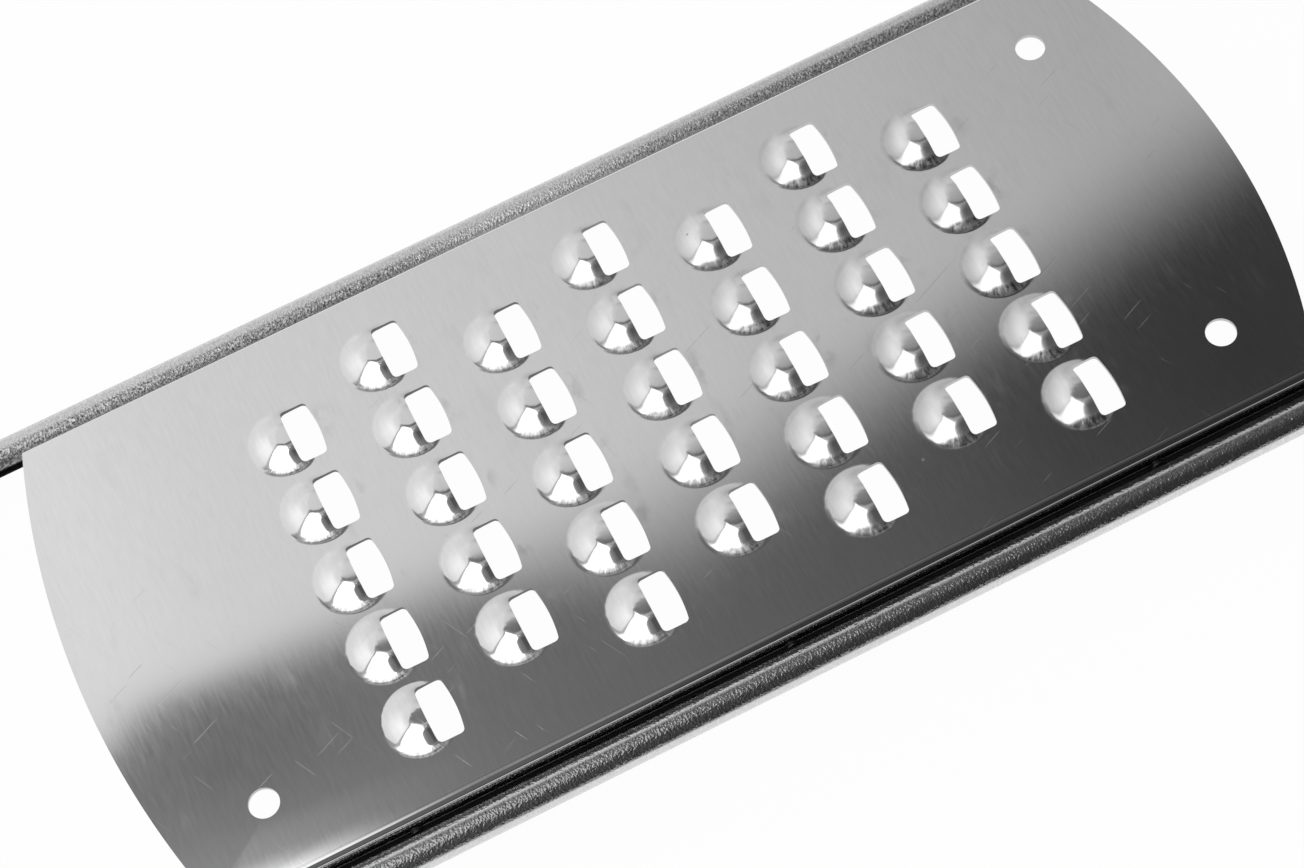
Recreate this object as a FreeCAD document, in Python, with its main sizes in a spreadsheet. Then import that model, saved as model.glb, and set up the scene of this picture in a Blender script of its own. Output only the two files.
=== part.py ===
import FreeCAD, Part
import math
import os

import Sketcher

# Coarse rasp grater: a pressed sheet blade welded into a bent rod frame,
# with rubber feet at the tip and a hollow steel handle.
# +X runs from the handle to the tip, +Y is the tool's left, +Z is up.
# The origin lies under the middle of the part, on the surface it rests on.

# Driving dimensions in millimetres and degrees
SIZES = {
    # Blade sheet
    "blade_length": 142.8,
    "blade_width": 62.0,
    "sheet_thickness": 0.5,
    "flange_depth": 6.0,
    "inner_bend_radius": 0.4,
    "blade_tip_bow": 6.67,
    "blade_handle_bow": 4.6,
    "locating_hole_diameter": 3.5,
    "locating_hole_inset": 13.1,
    "locating_hole_spacing": 43.3,
    # Teeth
    "tooth_column_pitch": 13.43,
    "tooth_row_pitch": 9.525,
    "tooth_block_shift": 1.36,
    "tooth_block_side_shift": 0.48,
    "dome_diameter": 8.3,
    "dome_height": 1.5,
    "dome_setback": 0.6,
    "mouth_width": 7.05,
    "mouth_length": 3.27,
    "mouth_corner_radius": 0.55,
    "mouth_bow": 0.3,
    "lip_bow": 0.05,
    # Rod frame, welds and feet
    "rod_diameter": 4.0,
    "rod_drop": 3.5,
    "weld_gap": 0.3,
    "weld_diameter": 1.6,
    "weld_pitch": 45.0,
    "tip_gap": 25.1,
    "tip_corner_radius": 12.0,
    "foot_length": 12.0,
    "foot_width": 7.0,
    "foot_edge_radius": 1.5,
    "foot_bore_clearance": 0.1,
    "foot_corner_gap": 0.5,
    "shoulder_length": 44.0,
    "shoulder_angle": 45.0,
    "shoulder_bend_radius": 12.0,
    "neck_length": 3.0,
    "tang_spacing": 15.0,
    "tang_length": 48.0,
    # Handle
    "handle_length": 102.0,
    "handle_front_width": 26.0,
    "handle_rear_width": 31.0,
    "handle_thickness": 16.0,
    "handle_corner_radius": 13.5,
    "handle_edge_radius": 6.0,
    "handle_wall": 1.0,
    "bolster_length": 6.0,
    "spigot_length": 10.0,
    "spigot_clearance": 0.1,
    "rod_bore_clearance": 0.1,
    "bridge_length": 14.0,
    "bridge_width": 20.0,
    "bridge_corner_gap": 0.4,
    "hang_bore_diameter": 7.0,
    "hang_tube_wall": 1.0,
    "hang_tube_inset": 13.0,
    "hang_tube_clearance": 0.05,
    # How far a cut runs past the face it leaves
    "cut_overrun": 2.0,
}

# Counts: the outer tooth columns alternate with the inner ones, a half row pitch apart
TOOTH_ROWS = 5
OUTER_COLUMNS = 4
INNER_COLUMNS = 3
WELDS_PER_SIDE = 3

SHEET_NAME = "Sizes"
# Two coordinates closer than this are the same place
SAME_PLACE = 1e-4
# Marks a step of a pattern that takes the pattern's own spacing
EVEN_STEP = -1.0


class Size:
    """A length known both as a number and as a formula over the sheet."""

    def __init__(self, value, text):
        self.value = float(value)
        self.text = text

    def _join(self, other, sign, value):
        text = other.text if isinstance(other, Size) else repr(other)
        return Size(value, f"({self.text} {sign} {text})")

    def __add__(self, other):
        return self._join(other, "+", self.value + number(other))

    def __sub__(self, other):
        return self._join(other, "-", self.value - number(other))

    def __mul__(self, other):
        return self._join(other, "*", self.value * number(other))

    def __truediv__(self, other):
        return self._join(other, "/", self.value / number(other))

    def __neg__(self):
        return Size(-self.value, f"(-1 * {self.text})")

    def root(self):
        return Size(math.sqrt(self.value), f"sqrt({self.text})")

    def sine(self):
        return Size(math.sin(math.radians(self.value)), f"sin({self.text})")

    def cosine(self):
        return Size(math.cos(math.radians(self.value)), f"cos({self.text})")


def number(item):
    """Return the plain number of a size or of a bare factor."""
    return item.value if isinstance(item, Size) else item


def size(name):
    """Return the driving dimension with this name."""
    return Size(SIZES[name], f"{SHEET_NAME}.{name}")


def bow_radius(bow, half_chord):
    """Return the radius of an arc that rises by bow over its chord."""
    return (half_chord * half_chord + bow * bow) / (bow * 2)


ZERO = Size(0, "0")
doc = FreeCAD.newDocument("RaspGrater")
sheet = doc.addObject("Spreadsheet::Sheet", SHEET_NAME)
for row, (alias, length) in enumerate(SIZES.items(), start=1):
    sheet.set(f"A{row}", alias)
    sheet.set(f"B{row}", str(length))
    sheet.setAlias(f"B{row}", alias)
doc.recompute()


# Helpers for bodies, sketches and features

def bind(item, path, amount):
    """Tie a property of a document object to a size."""
    item.setExpression(path, amount.text)


def place(item, x, y, z):
    """Set an object's position from three sizes."""
    for axis, amount in zip("xyz", (x, y, z)):
        bind(item, f"Placement.Base.{axis}", amount)


def new_body(label, x, y, z):
    """Start a body whose local origin lies at the given place."""
    body = doc.addObject("PartDesign::Body", label)
    body.Label = label
    place(body, x, y, z)
    return body


def new_sketch(body, name, role, offset=(ZERO, ZERO, ZERO)):
    """Start a sketch on one of a body's own origin planes, moved by an offset."""
    plane = next(item for item in body.Origin.OriginFeatures if item.Role == role)
    sketch = body.newObject("Sketcher::SketchObject", name)
    sketch.AttachmentSupport = [(plane, "")]
    sketch.MapMode = "FlatFace"
    for axis, amount in zip("xyz", offset):
        bind(sketch, f"AttachmentOffset.Base.{axis}", amount)
    return sketch


def pin_point(sketch, element, vertex, x, y):
    """Fix one point of a sketch at a place given by two sizes."""
    for kind, amount in (("DistanceX", x), ("DistanceY", y)):
        rule = Sketcher.Constraint(kind, -1, 1, element, vertex, amount.value)
        index = sketch.addConstraint(rule)
        bind(sketch, f"Constraints[{index}]", amount)


def minor_arc(start, end, radius):
    """Return the short arc between two points; a positive radius turns left."""
    chord = end - start
    half = chord.Length / 2
    side = FreeCAD.Vector(-chord.y, chord.x, 0).normalize()
    reach = math.sqrt(max(radius * radius - half * half, 0))
    turn = math.copysign(1, radius)
    centre = start + chord * 0.5 + side * (reach * turn)
    middle = centre - side * (abs(radius) * turn)
    return Part.Arc(start, middle, end)


def trace(sketch, points, radii=None, closed=True):
    """Draw lines through points; radii maps a point's index to the arc that leaves it."""
    radii = radii or {}
    spots = [FreeCAD.Vector(x.value, y.value, 0) for x, y in points]
    count = len(points) if closed else len(points) - 1
    for index in range(count):
        start = spots[index]
        end = spots[(index + 1) % len(points)]
        if index in radii:
            sketch.addGeometry(minor_arc(start, end, radii[index].value))
        else:
            sketch.addGeometry(Part.LineSegment(start, end))
    leaving = [start_vertex(sketch, index, spots[index]) for index in range(count)]
    for index in range(count):
        pin_point(sketch, index, leaving[index], *points[index])
        following = (index + 1) % count
        if closed or following:
            joint = ("Coincident", index, 3 - leaving[index], following, leaving[following])
            sketch.addConstraint(Sketcher.Constraint(*joint))
        else:
            pin_point(sketch, index, 3 - leaving[index], *points[-1])
    for index, radius in radii.items():
        rule = Sketcher.Constraint("Radius", index, abs(radius.value))
        slot = sketch.addConstraint(rule)
        bind(sketch, f"Constraints[{slot}]", radius if radius.value > 0 else -radius)


def start_vertex(sketch, element, spot):
    """Return which end of a sketch element, 1 or 2, lies at a spot."""
    first = sketch.getPoint(element, 1)
    second = sketch.getPoint(element, 2)
    return 1 if (first - spot).Length < (second - spot).Length else 2


def circle(sketch, x, y, diameter):
    """Draw a circle at a place given by two sizes."""
    spot = FreeCAD.Vector(x.value, y.value, 0)
    normal = FreeCAD.Vector(0, 0, 1)
    element = sketch.addGeometry(Part.Circle(spot, normal, diameter.value / 2))
    pin_point(sketch, element, 3, x, y)
    index = sketch.addConstraint(Sketcher.Constraint("Diameter", element, diameter.value))
    bind(sketch, f"Constraints[{index}]", diameter)


def rounded_rectangle(width, height, corner):
    """Return the points and corner arcs of a rounded rectangle about the centre."""
    across = width / 2
    inner = across - corner
    up = height / 2
    low = up - corner
    points = [
        (-inner, -up), (inner, -up), (across, -low), (across, low),
        (inner, up), (-inner, up), (-across, low), (-across, -low),
    ]
    return points, {1: corner, 3: corner, 5: corner, 7: corner}


def feature(body, kind, name, sketch, **settings):
    """Add a feature made from a sketch, with plain settings."""
    item = body.newObject(f"PartDesign::{kind}", name)
    item.Profile = sketch
    for key, setting in settings.items():
        setattr(item, key, setting)
    return item


def pad(body, name, sketch, length, **settings):
    """Add material from a sketch over a length."""
    item = feature(body, "Pad", name, sketch, **settings)
    bind(item, "Length", length)
    return item


def cut_through(body, name, sketch):
    """Cut a sketch right through the body, both ways."""
    return feature(body, "Pocket", name, sketch, SideType="Symmetric", Type="ThroughAll")


def fillet(body, name, base, edges, radius):
    """Round the named edges of a feature."""
    item = body.newObject("PartDesign::Fillet", name)
    item.Base = (base, edges)
    bind(item, "Radius", radius)
    doc.recompute()
    return item


def edge_names(item, accept):
    """Return the names of a feature's edges whose bounding boxes are accepted."""
    edges = enumerate(item.Shape.Edges, start=1)
    return [f"Edge{index}" for index, edge in edges if accept(edge.BoundBox)]


def near(first, second):
    """Tell whether two coordinates are the same."""
    return math.isclose(first, second, abs_tol=SAME_PLACE)


# Places that the pieces share

rod_radius = size("rod_diameter") / 2
frame_half_width = size("blade_width") / 2 + size("weld_gap") + rod_radius
overall_length = (
    size("foot_width") / 2 + rod_radius + size("tip_gap") + size("blade_length")
    + size("shoulder_length") + size("bolster_length") + size("handle_length")
)
front_bar_x = overall_length / 2 - size("foot_width") / 2
blade_tip_x = front_bar_x - rod_radius - size("tip_gap")
blade_x = blade_tip_x - size("blade_length") / 2
handle_front_x = -overall_length / 2 + size("handle_length")
bolster_front_x = handle_front_x + size("bolster_length")
rod_height = size("handle_thickness") / 2
sheet_top_z = rod_height + size("rod_drop")
tang_end_x = handle_front_x - size("tang_length")


# Blade

def add_teeth(body, name, x, y, columns):
    """Press a grid of domed teeth into the blade, starting from one place."""
    thickness = size("sheet_thickness")
    height = size("dome_height")
    reach = size("dome_diameter") / 2
    overrun = size("cut_overrun")
    dome_radius = bow_radius(height, reach)
    hollow_radius = dome_radius - thickness
    hollow_reach = (height * (hollow_radius * 2 - height)).root()
    upright = (x - size("dome_setback"), ZERO, -y)

    # Raised cap, set back behind the lip so that its sides run out beside the mouth
    cap_section = new_sketch(body, f"{name}CapSection", "XZ_Plane", upright)
    cap_foot = -thickness / 2
    trace(
        cap_section,
        [(ZERO, cap_foot), (ZERO, height), (-reach, ZERO), (-reach, cap_foot)],
        {1: dome_radius},
    )
    cap = feature(body, "Revolution", f"{name}Cap", cap_section)
    cap.ReferenceAxis = (cap_section, ["V_Axis"])

    # Hollow under the cap, one sheet thickness below it
    hollow_section = new_sketch(body, f"{name}HollowSection", "XZ_Plane", upright)
    below = -thickness - overrun
    trace(
        hollow_section,
        [(ZERO, below), (ZERO, height - thickness), (-hollow_reach, -thickness), (-hollow_reach, below)],
        {1: hollow_radius},
    )
    hollow = feature(body, "Groove", f"{name}Hollow", hollow_section)
    hollow.ReferenceAxis = (hollow_section, ["V_Axis"])

    # Mouth between the cutting lip and the bowed edge in front of it
    corner = size("mouth_corner_radius")
    across = size("mouth_width") / 2
    side = across - corner
    front = size("mouth_length")
    rear = -size("lip_bow")
    mouth_outline = new_sketch(body, f"{name}MouthOutline", "XY_Plane", (x, y, ZERO))
    trace(
        mouth_outline,
        [
            (rear + corner, -across), (front - corner, -across), (front, -side), (front, side),
            (front - corner, across), (rear + corner, across), (rear, side), (rear, -side),
        ],
        {
            1: corner,
            2: bow_radius(size("mouth_bow"), side),
            3: corner,
            5: corner,
            6: -bow_radius(size("lip_bow"), side),
            7: corner,
        },
    )
    mouth = cut_through(body, f"{name}Mouth", mouth_outline)

    axes = {item.Role: item for item in body.Origin.OriginFeatures}
    grid = body.newObject("PartDesign::LinearPattern", f"{name}Grid")
    grid.Originals = [cap, hollow, mouth]
    grid.Direction = (axes["X_Axis"], [""])
    grid.Mode = "Spacing"
    grid.Occurrences = columns
    bind(grid, "Offset", size("tooth_column_pitch") * 2)
    grid.Direction2 = (axes["Y_Axis"], [""])
    grid.Mode2 = "Spacing"
    grid.Occurrences2 = TOOTH_ROWS
    grid.Spacings2 = [EVEN_STEP] * (TOOTH_ROWS - 1)
    bind(grid, "Offset2", size("tooth_row_pitch"))
    body.Tip = grid
    doc.recompute()


def make_blade():
    """Pressed sheet with bowed ends, bent-down long edges, holes and teeth."""
    half_length = size("blade_length") / 2
    half_width = size("blade_width") / 2
    thickness = size("sheet_thickness")
    depth = size("flange_depth")
    inner_bend = size("inner_bend_radius")
    body = new_body("blade", blade_x, ZERO, sheet_top_z)

    # Blank as deep as the flanges
    tip_corner = half_length - size("blade_tip_bow")
    handle_corner = half_length - size("blade_handle_bow")
    outline = new_sketch(body, "BlankOutline", "XY_Plane")
    trace(
        outline,
        [
            (-handle_corner, -half_width), (tip_corner, -half_width),
            (tip_corner, half_width), (-handle_corner, half_width),
        ],
        {
            1: bow_radius(size("blade_tip_bow"), half_width),
            3: bow_radius(size("blade_handle_bow"), half_width),
        },
    )
    blank = pad(body, "Blank", outline, depth, Reversed=True)
    doc.recompute()

    # Outer bends along both long edges
    def on_bend(box):
        return near(box.ZMin, 0) and near(box.YMin, box.YMax) and near(abs(box.YMin), half_width.value)

    fillet(body, "OuterBends", blank, edge_names(blank, on_bend), inner_bend + thickness)

    # Channel that leaves the sheet and its two flanges
    wall = half_width - thickness
    roof = -thickness
    below = -depth - size("cut_overrun")
    channel = new_sketch(body, "ChannelSection", "YZ_Plane")
    trace(
        channel,
        [
            (-wall, below), (wall, below), (wall, roof - inner_bend),
            (wall - inner_bend, roof), (inner_bend - wall, roof), (-wall, roof - inner_bend),
        ],
        {2: inner_bend, 4: inner_bend},
    )
    cut_through(body, "Channel", channel)

    # Two holes at the tip end and one at the handle end
    hole_x = half_length - size("locating_hole_inset")
    hole_y = size("locating_hole_spacing") / 2
    holes = new_sketch(body, "LocatingHoleCircles", "XY_Plane")
    for x, y in ((hole_x, hole_y), (hole_x, -hole_y), (-hole_x, -hole_y)):
        circle(holes, x, y, size("locating_hole_diameter"))
    cut_through(body, "LocatingHoles", holes)
    doc.recompute()

    # Teeth in two interleaved grids, a half row pitch apart
    pitch = size("tooth_column_pitch")
    row_pitch = size("tooth_row_pitch")
    stagger = row_pitch / 4
    first_row = size("tooth_block_side_shift") - row_pitch * (TOOTH_ROWS - 1) / 2
    for name, columns, shift in (("Outer", OUTER_COLUMNS, -stagger), ("Inner", INNER_COLUMNS, stagger)):
        first_column = size("tooth_block_shift") - pitch * (columns - 1)
        add_teeth(body, name, first_column, first_row + shift, columns)
    return body


# Frame

def make_frame_rod():
    """One rod from the right tang round the tip and back to the left tang."""
    bend = size("shoulder_bend_radius")
    corner = size("tip_corner_radius")
    angle = size("shoulder_angle")
    tang_y = size("tang_spacing") / 2
    bend_run = bend * angle.sine()
    bend_rise = bend - bend * angle.cosine()
    slope_rise = frame_half_width - tang_y - bend_rise * 2
    slope_run = slope_rise * angle.cosine() / angle.sine()
    neck_x = bolster_front_x + size("neck_length")
    inner_x = neck_x + bend_run
    outer_x = inner_x + slope_run
    leg_x = outer_x + bend_run
    side = [
        (tang_end_x, tang_y),
        (neck_x, tang_y),
        (inner_x, tang_y + bend_rise),
        (outer_x, tang_y + bend_rise + slope_rise),
        (leg_x, frame_half_width),
        (front_bar_x - corner, frame_half_width),
        (front_bar_x, frame_half_width - corner),
    ]
    right_side = [(x, -y) for x, y in side]
    arcs = {1: -bend, 3: bend, 5: corner, 7: corner, 9: bend, 11: -bend}

    body = new_body("frame_rod", ZERO, ZERO, rod_height)
    path = new_sketch(body, "RodPath", "XY_Plane")
    trace(path, right_side + side[::-1], arcs, closed=False)
    section = new_sketch(body, "RodSection", "YZ_Plane", (-tang_y, ZERO, tang_end_x))
    circle(section, ZERO, ZERO, size("rod_diameter"))
    doc.recompute()
    rod = feature(body, "AdditivePipe", "Rod", section)
    rod.Spine = (path, [f"Edge{index}" for index in range(1, len(path.Geometry) + 1)])
    return body


def make_weld_nuggets(label, inner_y):
    """Spot welds that fill the gap between one flange and the rod beside it."""
    nuggets = []
    for index in range(WELDS_PER_SIDE):
        nugget = doc.addObject("Part::Cylinder", f"{label}_{index + 1}")
        nugget.Placement.Rotation = FreeCAD.Rotation(FreeCAD.Vector(1, 0, 0), -90)
        bind(nugget, "Radius", size("weld_diameter") / 2)
        bind(nugget, "Height", size("weld_gap"))
        step = index - (WELDS_PER_SIDE - 1) / 2
        place(nugget, blade_x + size("weld_pitch") * step, inner_y, rod_height)
        nuggets.append(nugget)
    group = doc.addObject("Part::Compound", label)
    group.Label = label
    group.Links = nuggets
    return group


def make_foot(label, y):
    """Rubber foot with a flat sole, sleeved on the front bar."""
    across = size("foot_width") / 2
    edge = size("foot_edge_radius")
    sole = -rod_height
    body = new_body(label, front_bar_x, y, rod_height)
    section = new_sketch(body, "FootSection", "XZ_Plane")
    trace(
        section,
        [
            (edge - across, sole), (across - edge, sole), (across, sole + edge), (across, ZERO),
            (ZERO, across), (-across, ZERO), (-across, sole + edge),
        ],
        {1: edge, 3: across, 4: across, 6: edge},
    )
    pad(body, "Foot", section, size("foot_length"), SideType="Symmetric")
    bore = new_sketch(body, "FootBoreCircle", "XZ_Plane")
    circle(bore, ZERO, ZERO, size("rod_diameter") + size("foot_bore_clearance") * 2)
    cut_through(body, "FootBore", bore)
    return body


# Handle

def cut_rod_bores(body):
    """Bore a handle block for the two tangs of the frame rod."""
    tang_y = size("tang_spacing") / 2
    bores = new_sketch(body, "RodBoreCircles", "YZ_Plane")
    for y in (-tang_y, tang_y):
        circle(bores, y, ZERO, size("rod_diameter") + size("rod_bore_clearance") * 2)
    cut_through(body, "RodBores", bores)


def make_bolster():
    """Collar flush with the shells, with a spigot that they close over."""
    width = size("handle_front_width")
    thickness = size("handle_thickness")
    edge = size("handle_edge_radius")
    inset = size("handle_wall") + size("spigot_clearance")
    body = new_body("handle_bolster", handle_front_x, ZERO, rod_height)
    collar = new_sketch(body, "CollarSection", "YZ_Plane")
    trace(collar, *rounded_rectangle(width, thickness, edge))
    pad(body, "Collar", collar, size("bolster_length"))
    spigot = new_sketch(body, "SpigotSection", "YZ_Plane")
    trace(spigot, *rounded_rectangle(width - inset * 2, thickness - inset * 2, edge - inset))
    pad(body, "Spigot", spigot, size("spigot_length"), Reversed=True)
    cut_rod_bores(body)
    return body


def handle_outline(inset):
    """Return the points and arcs of the handle's plan, drawn in by an inset."""
    front = size("handle_front_width") / 2 - inset
    rear = size("handle_rear_width") / 2 - inset
    corner = size("handle_corner_radius") - inset
    end_x = inset - size("handle_length")
    corner_x = end_x + corner
    # Each side sweeps out from the front and runs square into its corner arc
    side_radius = bow_radius(rear - front, -corner_x)
    points = [
        (ZERO, front), (corner_x, rear), (end_x, rear - corner),
        (end_x, corner - rear), (corner_x, -rear), (ZERO, -front),
    ]
    return points, {0: side_radius, 1: corner, 3: corner, 4: side_radius}


def make_handle_half(label, upper, inset):
    """One solid half of the handle with a rounded rim, drawn in by an inset."""
    height = size("handle_thickness") / 2 - inset
    level = height.value if upper else -height.value
    body = new_body(label, handle_front_x, ZERO, rod_height)
    outline = new_sketch(body, "HalfOutline", "XY_Plane")
    trace(outline, *handle_outline(inset))
    block = pad(body, "Half", outline, height, Reversed=not upper)
    doc.recompute()

    def on_rim(box):
        return near(box.ZMin, level) and near(box.ZMax, level) and not near(box.XMin, 0)

    fillet(body, "Rim", block, edge_names(block, on_rim), size("handle_edge_radius") - inset)
    return body


def make_shell(label, upper):
    """One pressed half of the hollow handle, open at the seam and at the front."""
    outside = make_handle_half(f"{label}_outside", upper, ZERO)
    hole = new_sketch(outside, "HangHoleCircle", "XY_Plane")
    tube_diameter = size("hang_bore_diameter") + size("hang_tube_wall") * 2
    hole_x = size("hang_tube_inset") - size("handle_length")
    circle(hole, hole_x, ZERO, tube_diameter + size("hang_tube_clearance") * 2)
    cut_through(outside, "HangHole", hole)
    shell = doc.addObject("Part::Cut", label)
    shell.Label = label
    shell.Base = outside
    shell.Tool = make_handle_half(f"{label}_cavity", upper, size("handle_wall"))
    return shell


def make_tang_bridge():
    """Block between the shells that ties the two rod ends together."""
    wall = size("handle_wall")
    height = size("handle_thickness") - wall * 2
    corner = size("handle_edge_radius") - wall + size("bridge_corner_gap")
    body = new_body("tang_bridge", tang_end_x, ZERO, rod_height)
    section = new_sketch(body, "BridgeSection", "YZ_Plane")
    trace(section, *rounded_rectangle(size("bridge_width"), height, corner))
    pad(body, "Bridge", section, size("bridge_length"))
    cut_rod_bores(body)
    return body


def make_hang_tube():
    """Tube through both shells, flush with the handle's two faces."""
    tube_x = handle_front_x - size("handle_length") + size("hang_tube_inset")
    body = new_body("hang_tube", tube_x, ZERO, rod_height)
    ring = new_sketch(body, "TubeCircles", "XY_Plane")
    circle(ring, ZERO, ZERO, size("hang_bore_diameter"))
    circle(ring, ZERO, ZERO, size("hang_bore_diameter") + size("hang_tube_wall") * 2)
    pad(body, "Tube", ring, size("handle_thickness"), SideType="Symmetric")
    return body


# Assembly

blade_side = size("blade_width") / 2
foot_y = (
    frame_half_width - size("tip_corner_radius")
    - size("foot_corner_gap") - size("foot_length") / 2
)
PIECES = [
    make_blade(),
    make_frame_rod(),
    make_weld_nuggets("left_weld_nuggets", blade_side),
    make_weld_nuggets("right_weld_nuggets", -blade_side - size("weld_gap")),
    make_foot("left_foot", foot_y),
    make_foot("right_foot", -foot_y),
    make_bolster(),
    make_shell("handle_top_shell", upper=True),
    make_shell("handle_bottom_shell", upper=False),
    make_tang_bridge(),
    make_hang_tube(),
]
doc.recompute()

for item in doc.Objects:
    if "Invalid" in item.State or "Error" in item.State:
        raise RuntimeError(f"{item.Label} failed: {item.State}")
for piece in PIECES:
    if piece.Shape.isNull() or not piece.Shape.isValid():
        raise RuntimeError(f"{piece.Label} has no sound shape")

os.makedirs("parts", exist_ok=True)
for piece in PIECES:
    piece.Shape.exportStep(f"parts/{piece.Label}.step")
    box = piece.Shape.BoundBox
    print(f"{piece.Label}: {len(piece.Shape.Solids)} solids, {piece.Shape.Volume:.1f} mm3, {box}")
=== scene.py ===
"""Looks of a coarse paddle grater.

A pressed sheet with half-dome teeth sits in a bent rod frame with two rubber feet and a hollow
steel handle. Sizes are in millimetres while a piece is shaped, and its finished mesh is in metres.
"""

import logging
import math
from dataclasses import dataclass
from enum import Enum
from functools import cached_property
from typing import Optional, Sequence, Union

import bmesh
import bpy
from mathutils import Matrix, Vector


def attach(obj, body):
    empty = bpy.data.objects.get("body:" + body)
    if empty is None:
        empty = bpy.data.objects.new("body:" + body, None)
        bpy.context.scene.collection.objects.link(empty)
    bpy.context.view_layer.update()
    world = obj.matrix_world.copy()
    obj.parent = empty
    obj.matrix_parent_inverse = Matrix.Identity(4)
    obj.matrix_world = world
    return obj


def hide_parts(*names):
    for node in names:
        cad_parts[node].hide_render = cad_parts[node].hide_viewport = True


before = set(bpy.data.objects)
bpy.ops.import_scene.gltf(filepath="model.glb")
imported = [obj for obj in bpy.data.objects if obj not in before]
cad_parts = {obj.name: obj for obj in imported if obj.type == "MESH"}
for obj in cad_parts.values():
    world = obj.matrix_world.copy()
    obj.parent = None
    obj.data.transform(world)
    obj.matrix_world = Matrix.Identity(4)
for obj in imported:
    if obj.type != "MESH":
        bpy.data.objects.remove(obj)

LOG = logging.getLogger("grater")
METRES = 0.001
MILLIMETRES = 1000.0
SAME_PLACE = 1e-4
BODY = "root"
SENSOR_WIDTH = 36.0

Material = bpy.types.Material
Socket = bpy.types.NodeSocket
Shape = bmesh.types.BMesh
Edges = list[bmesh.types.BMEdge]
Operand = Union["Signal", float, int]
Colour = Union[Socket, tuple]


class Grain(Enum):
    """Direction that a finish is drawn in."""

    ALONG = (60.0, 2600.0, 2600.0)
    ACROSS = (2600.0, 340.0, 340.0)
    AROUND = (5200.0, 120.0, 120.0)


class Signal:
    """A shader value that takes part in Python arithmetic."""

    def __init__(self, graph: "Graph", socket: Socket) -> None:
        """Keeps the graph and the output socket that carries the value."""
        self.graph = graph
        self.socket = socket

    def _math(self, operation: str, first: Operand, *others: Operand) -> "Signal":
        """Adds one Math node.

        Args:
            operation: name of the Math node's operation.
            first: value of its first socket.
            others: values of its further sockets.

        Returns:
            The node's result.
        """
        values = dict(enumerate((first, *others)))
        return self.graph.signal(self.graph.node("ShaderNodeMath", {"operation": operation}, values))

    def __add__(self, other: Operand) -> "Signal":
        """Sum."""
        return self._math("ADD", self, other)

    __radd__ = __add__

    def __mul__(self, other: Operand) -> "Signal":
        """Product."""
        return self._math("MULTIPLY", self, other)

    __rmul__ = __mul__

    def __sub__(self, other: Operand) -> "Signal":
        """Difference."""
        return self._math("SUBTRACT", self, other)

    def __rsub__(self, other: Operand) -> "Signal":
        """Difference from a number."""
        return self._math("SUBTRACT", other, self)

    def __truediv__(self, other: Operand) -> "Signal":
        """Quotient."""
        return self._math("DIVIDE", self, other)

    def __rtruediv__(self, other: Operand) -> "Signal":
        """Quotient of a number."""
        return self._math("DIVIDE", other, self)

    def __pow__(self, other: Operand) -> "Signal":
        """Power."""
        return self._math("POWER", self, other)

    def __abs__(self) -> "Signal":
        """Size without its sign."""
        return self._math("ABSOLUTE", self)

    def most(self, other: Operand) -> "Signal":
        """Larger of two values."""
        return self._math("MAXIMUM", self, other)

    def least(self, other: Operand) -> "Signal":
        """Smaller of two values."""
        return self._math("MINIMUM", self, other)

    def arc(self) -> "Signal":
        """Angle in degrees that has this cosine."""
        return self._math("ARCCOSINE", self) * math.degrees(1.0)

    def fold(self, half: float) -> "Signal":
        """Distance to the nearest of many even steps.

        Args:
            half: half of a step.

        Returns:
            The distance with its sign, from minus a half step to a half step.
        """
        return self._math("WRAP", self, half, -half)

    def rise(self, low: Operand, high: Operand) -> "Signal":
        """Eased step from 0 to 1.

        Args:
            low: value where the step starts.
            high: value where the step ends.

        Returns:
            The step.
        """
        sockets = {"Value": self, "From Min": low, "From Max": high}
        node = self.graph.node("ShaderNodeMapRange", {"interpolation_type": "SMOOTHSTEP"}, sockets)
        return self.graph.signal(node)

    def fall(self, low: Operand, high: Operand) -> "Signal":
        """Eased step from 1 to 0 between two values."""
        return 1.0 - self.rise(low, high)

    def toward(self, other: Operand, share: Operand) -> "Signal":
        """Blend from this value to another by a share from 0 to 1."""
        return self + (other - self) * share

    def between(self, low: float, high: float) -> "Signal":
        """Value from 0 to 1 spread over a range."""
        return self * (high - low) + low


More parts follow.
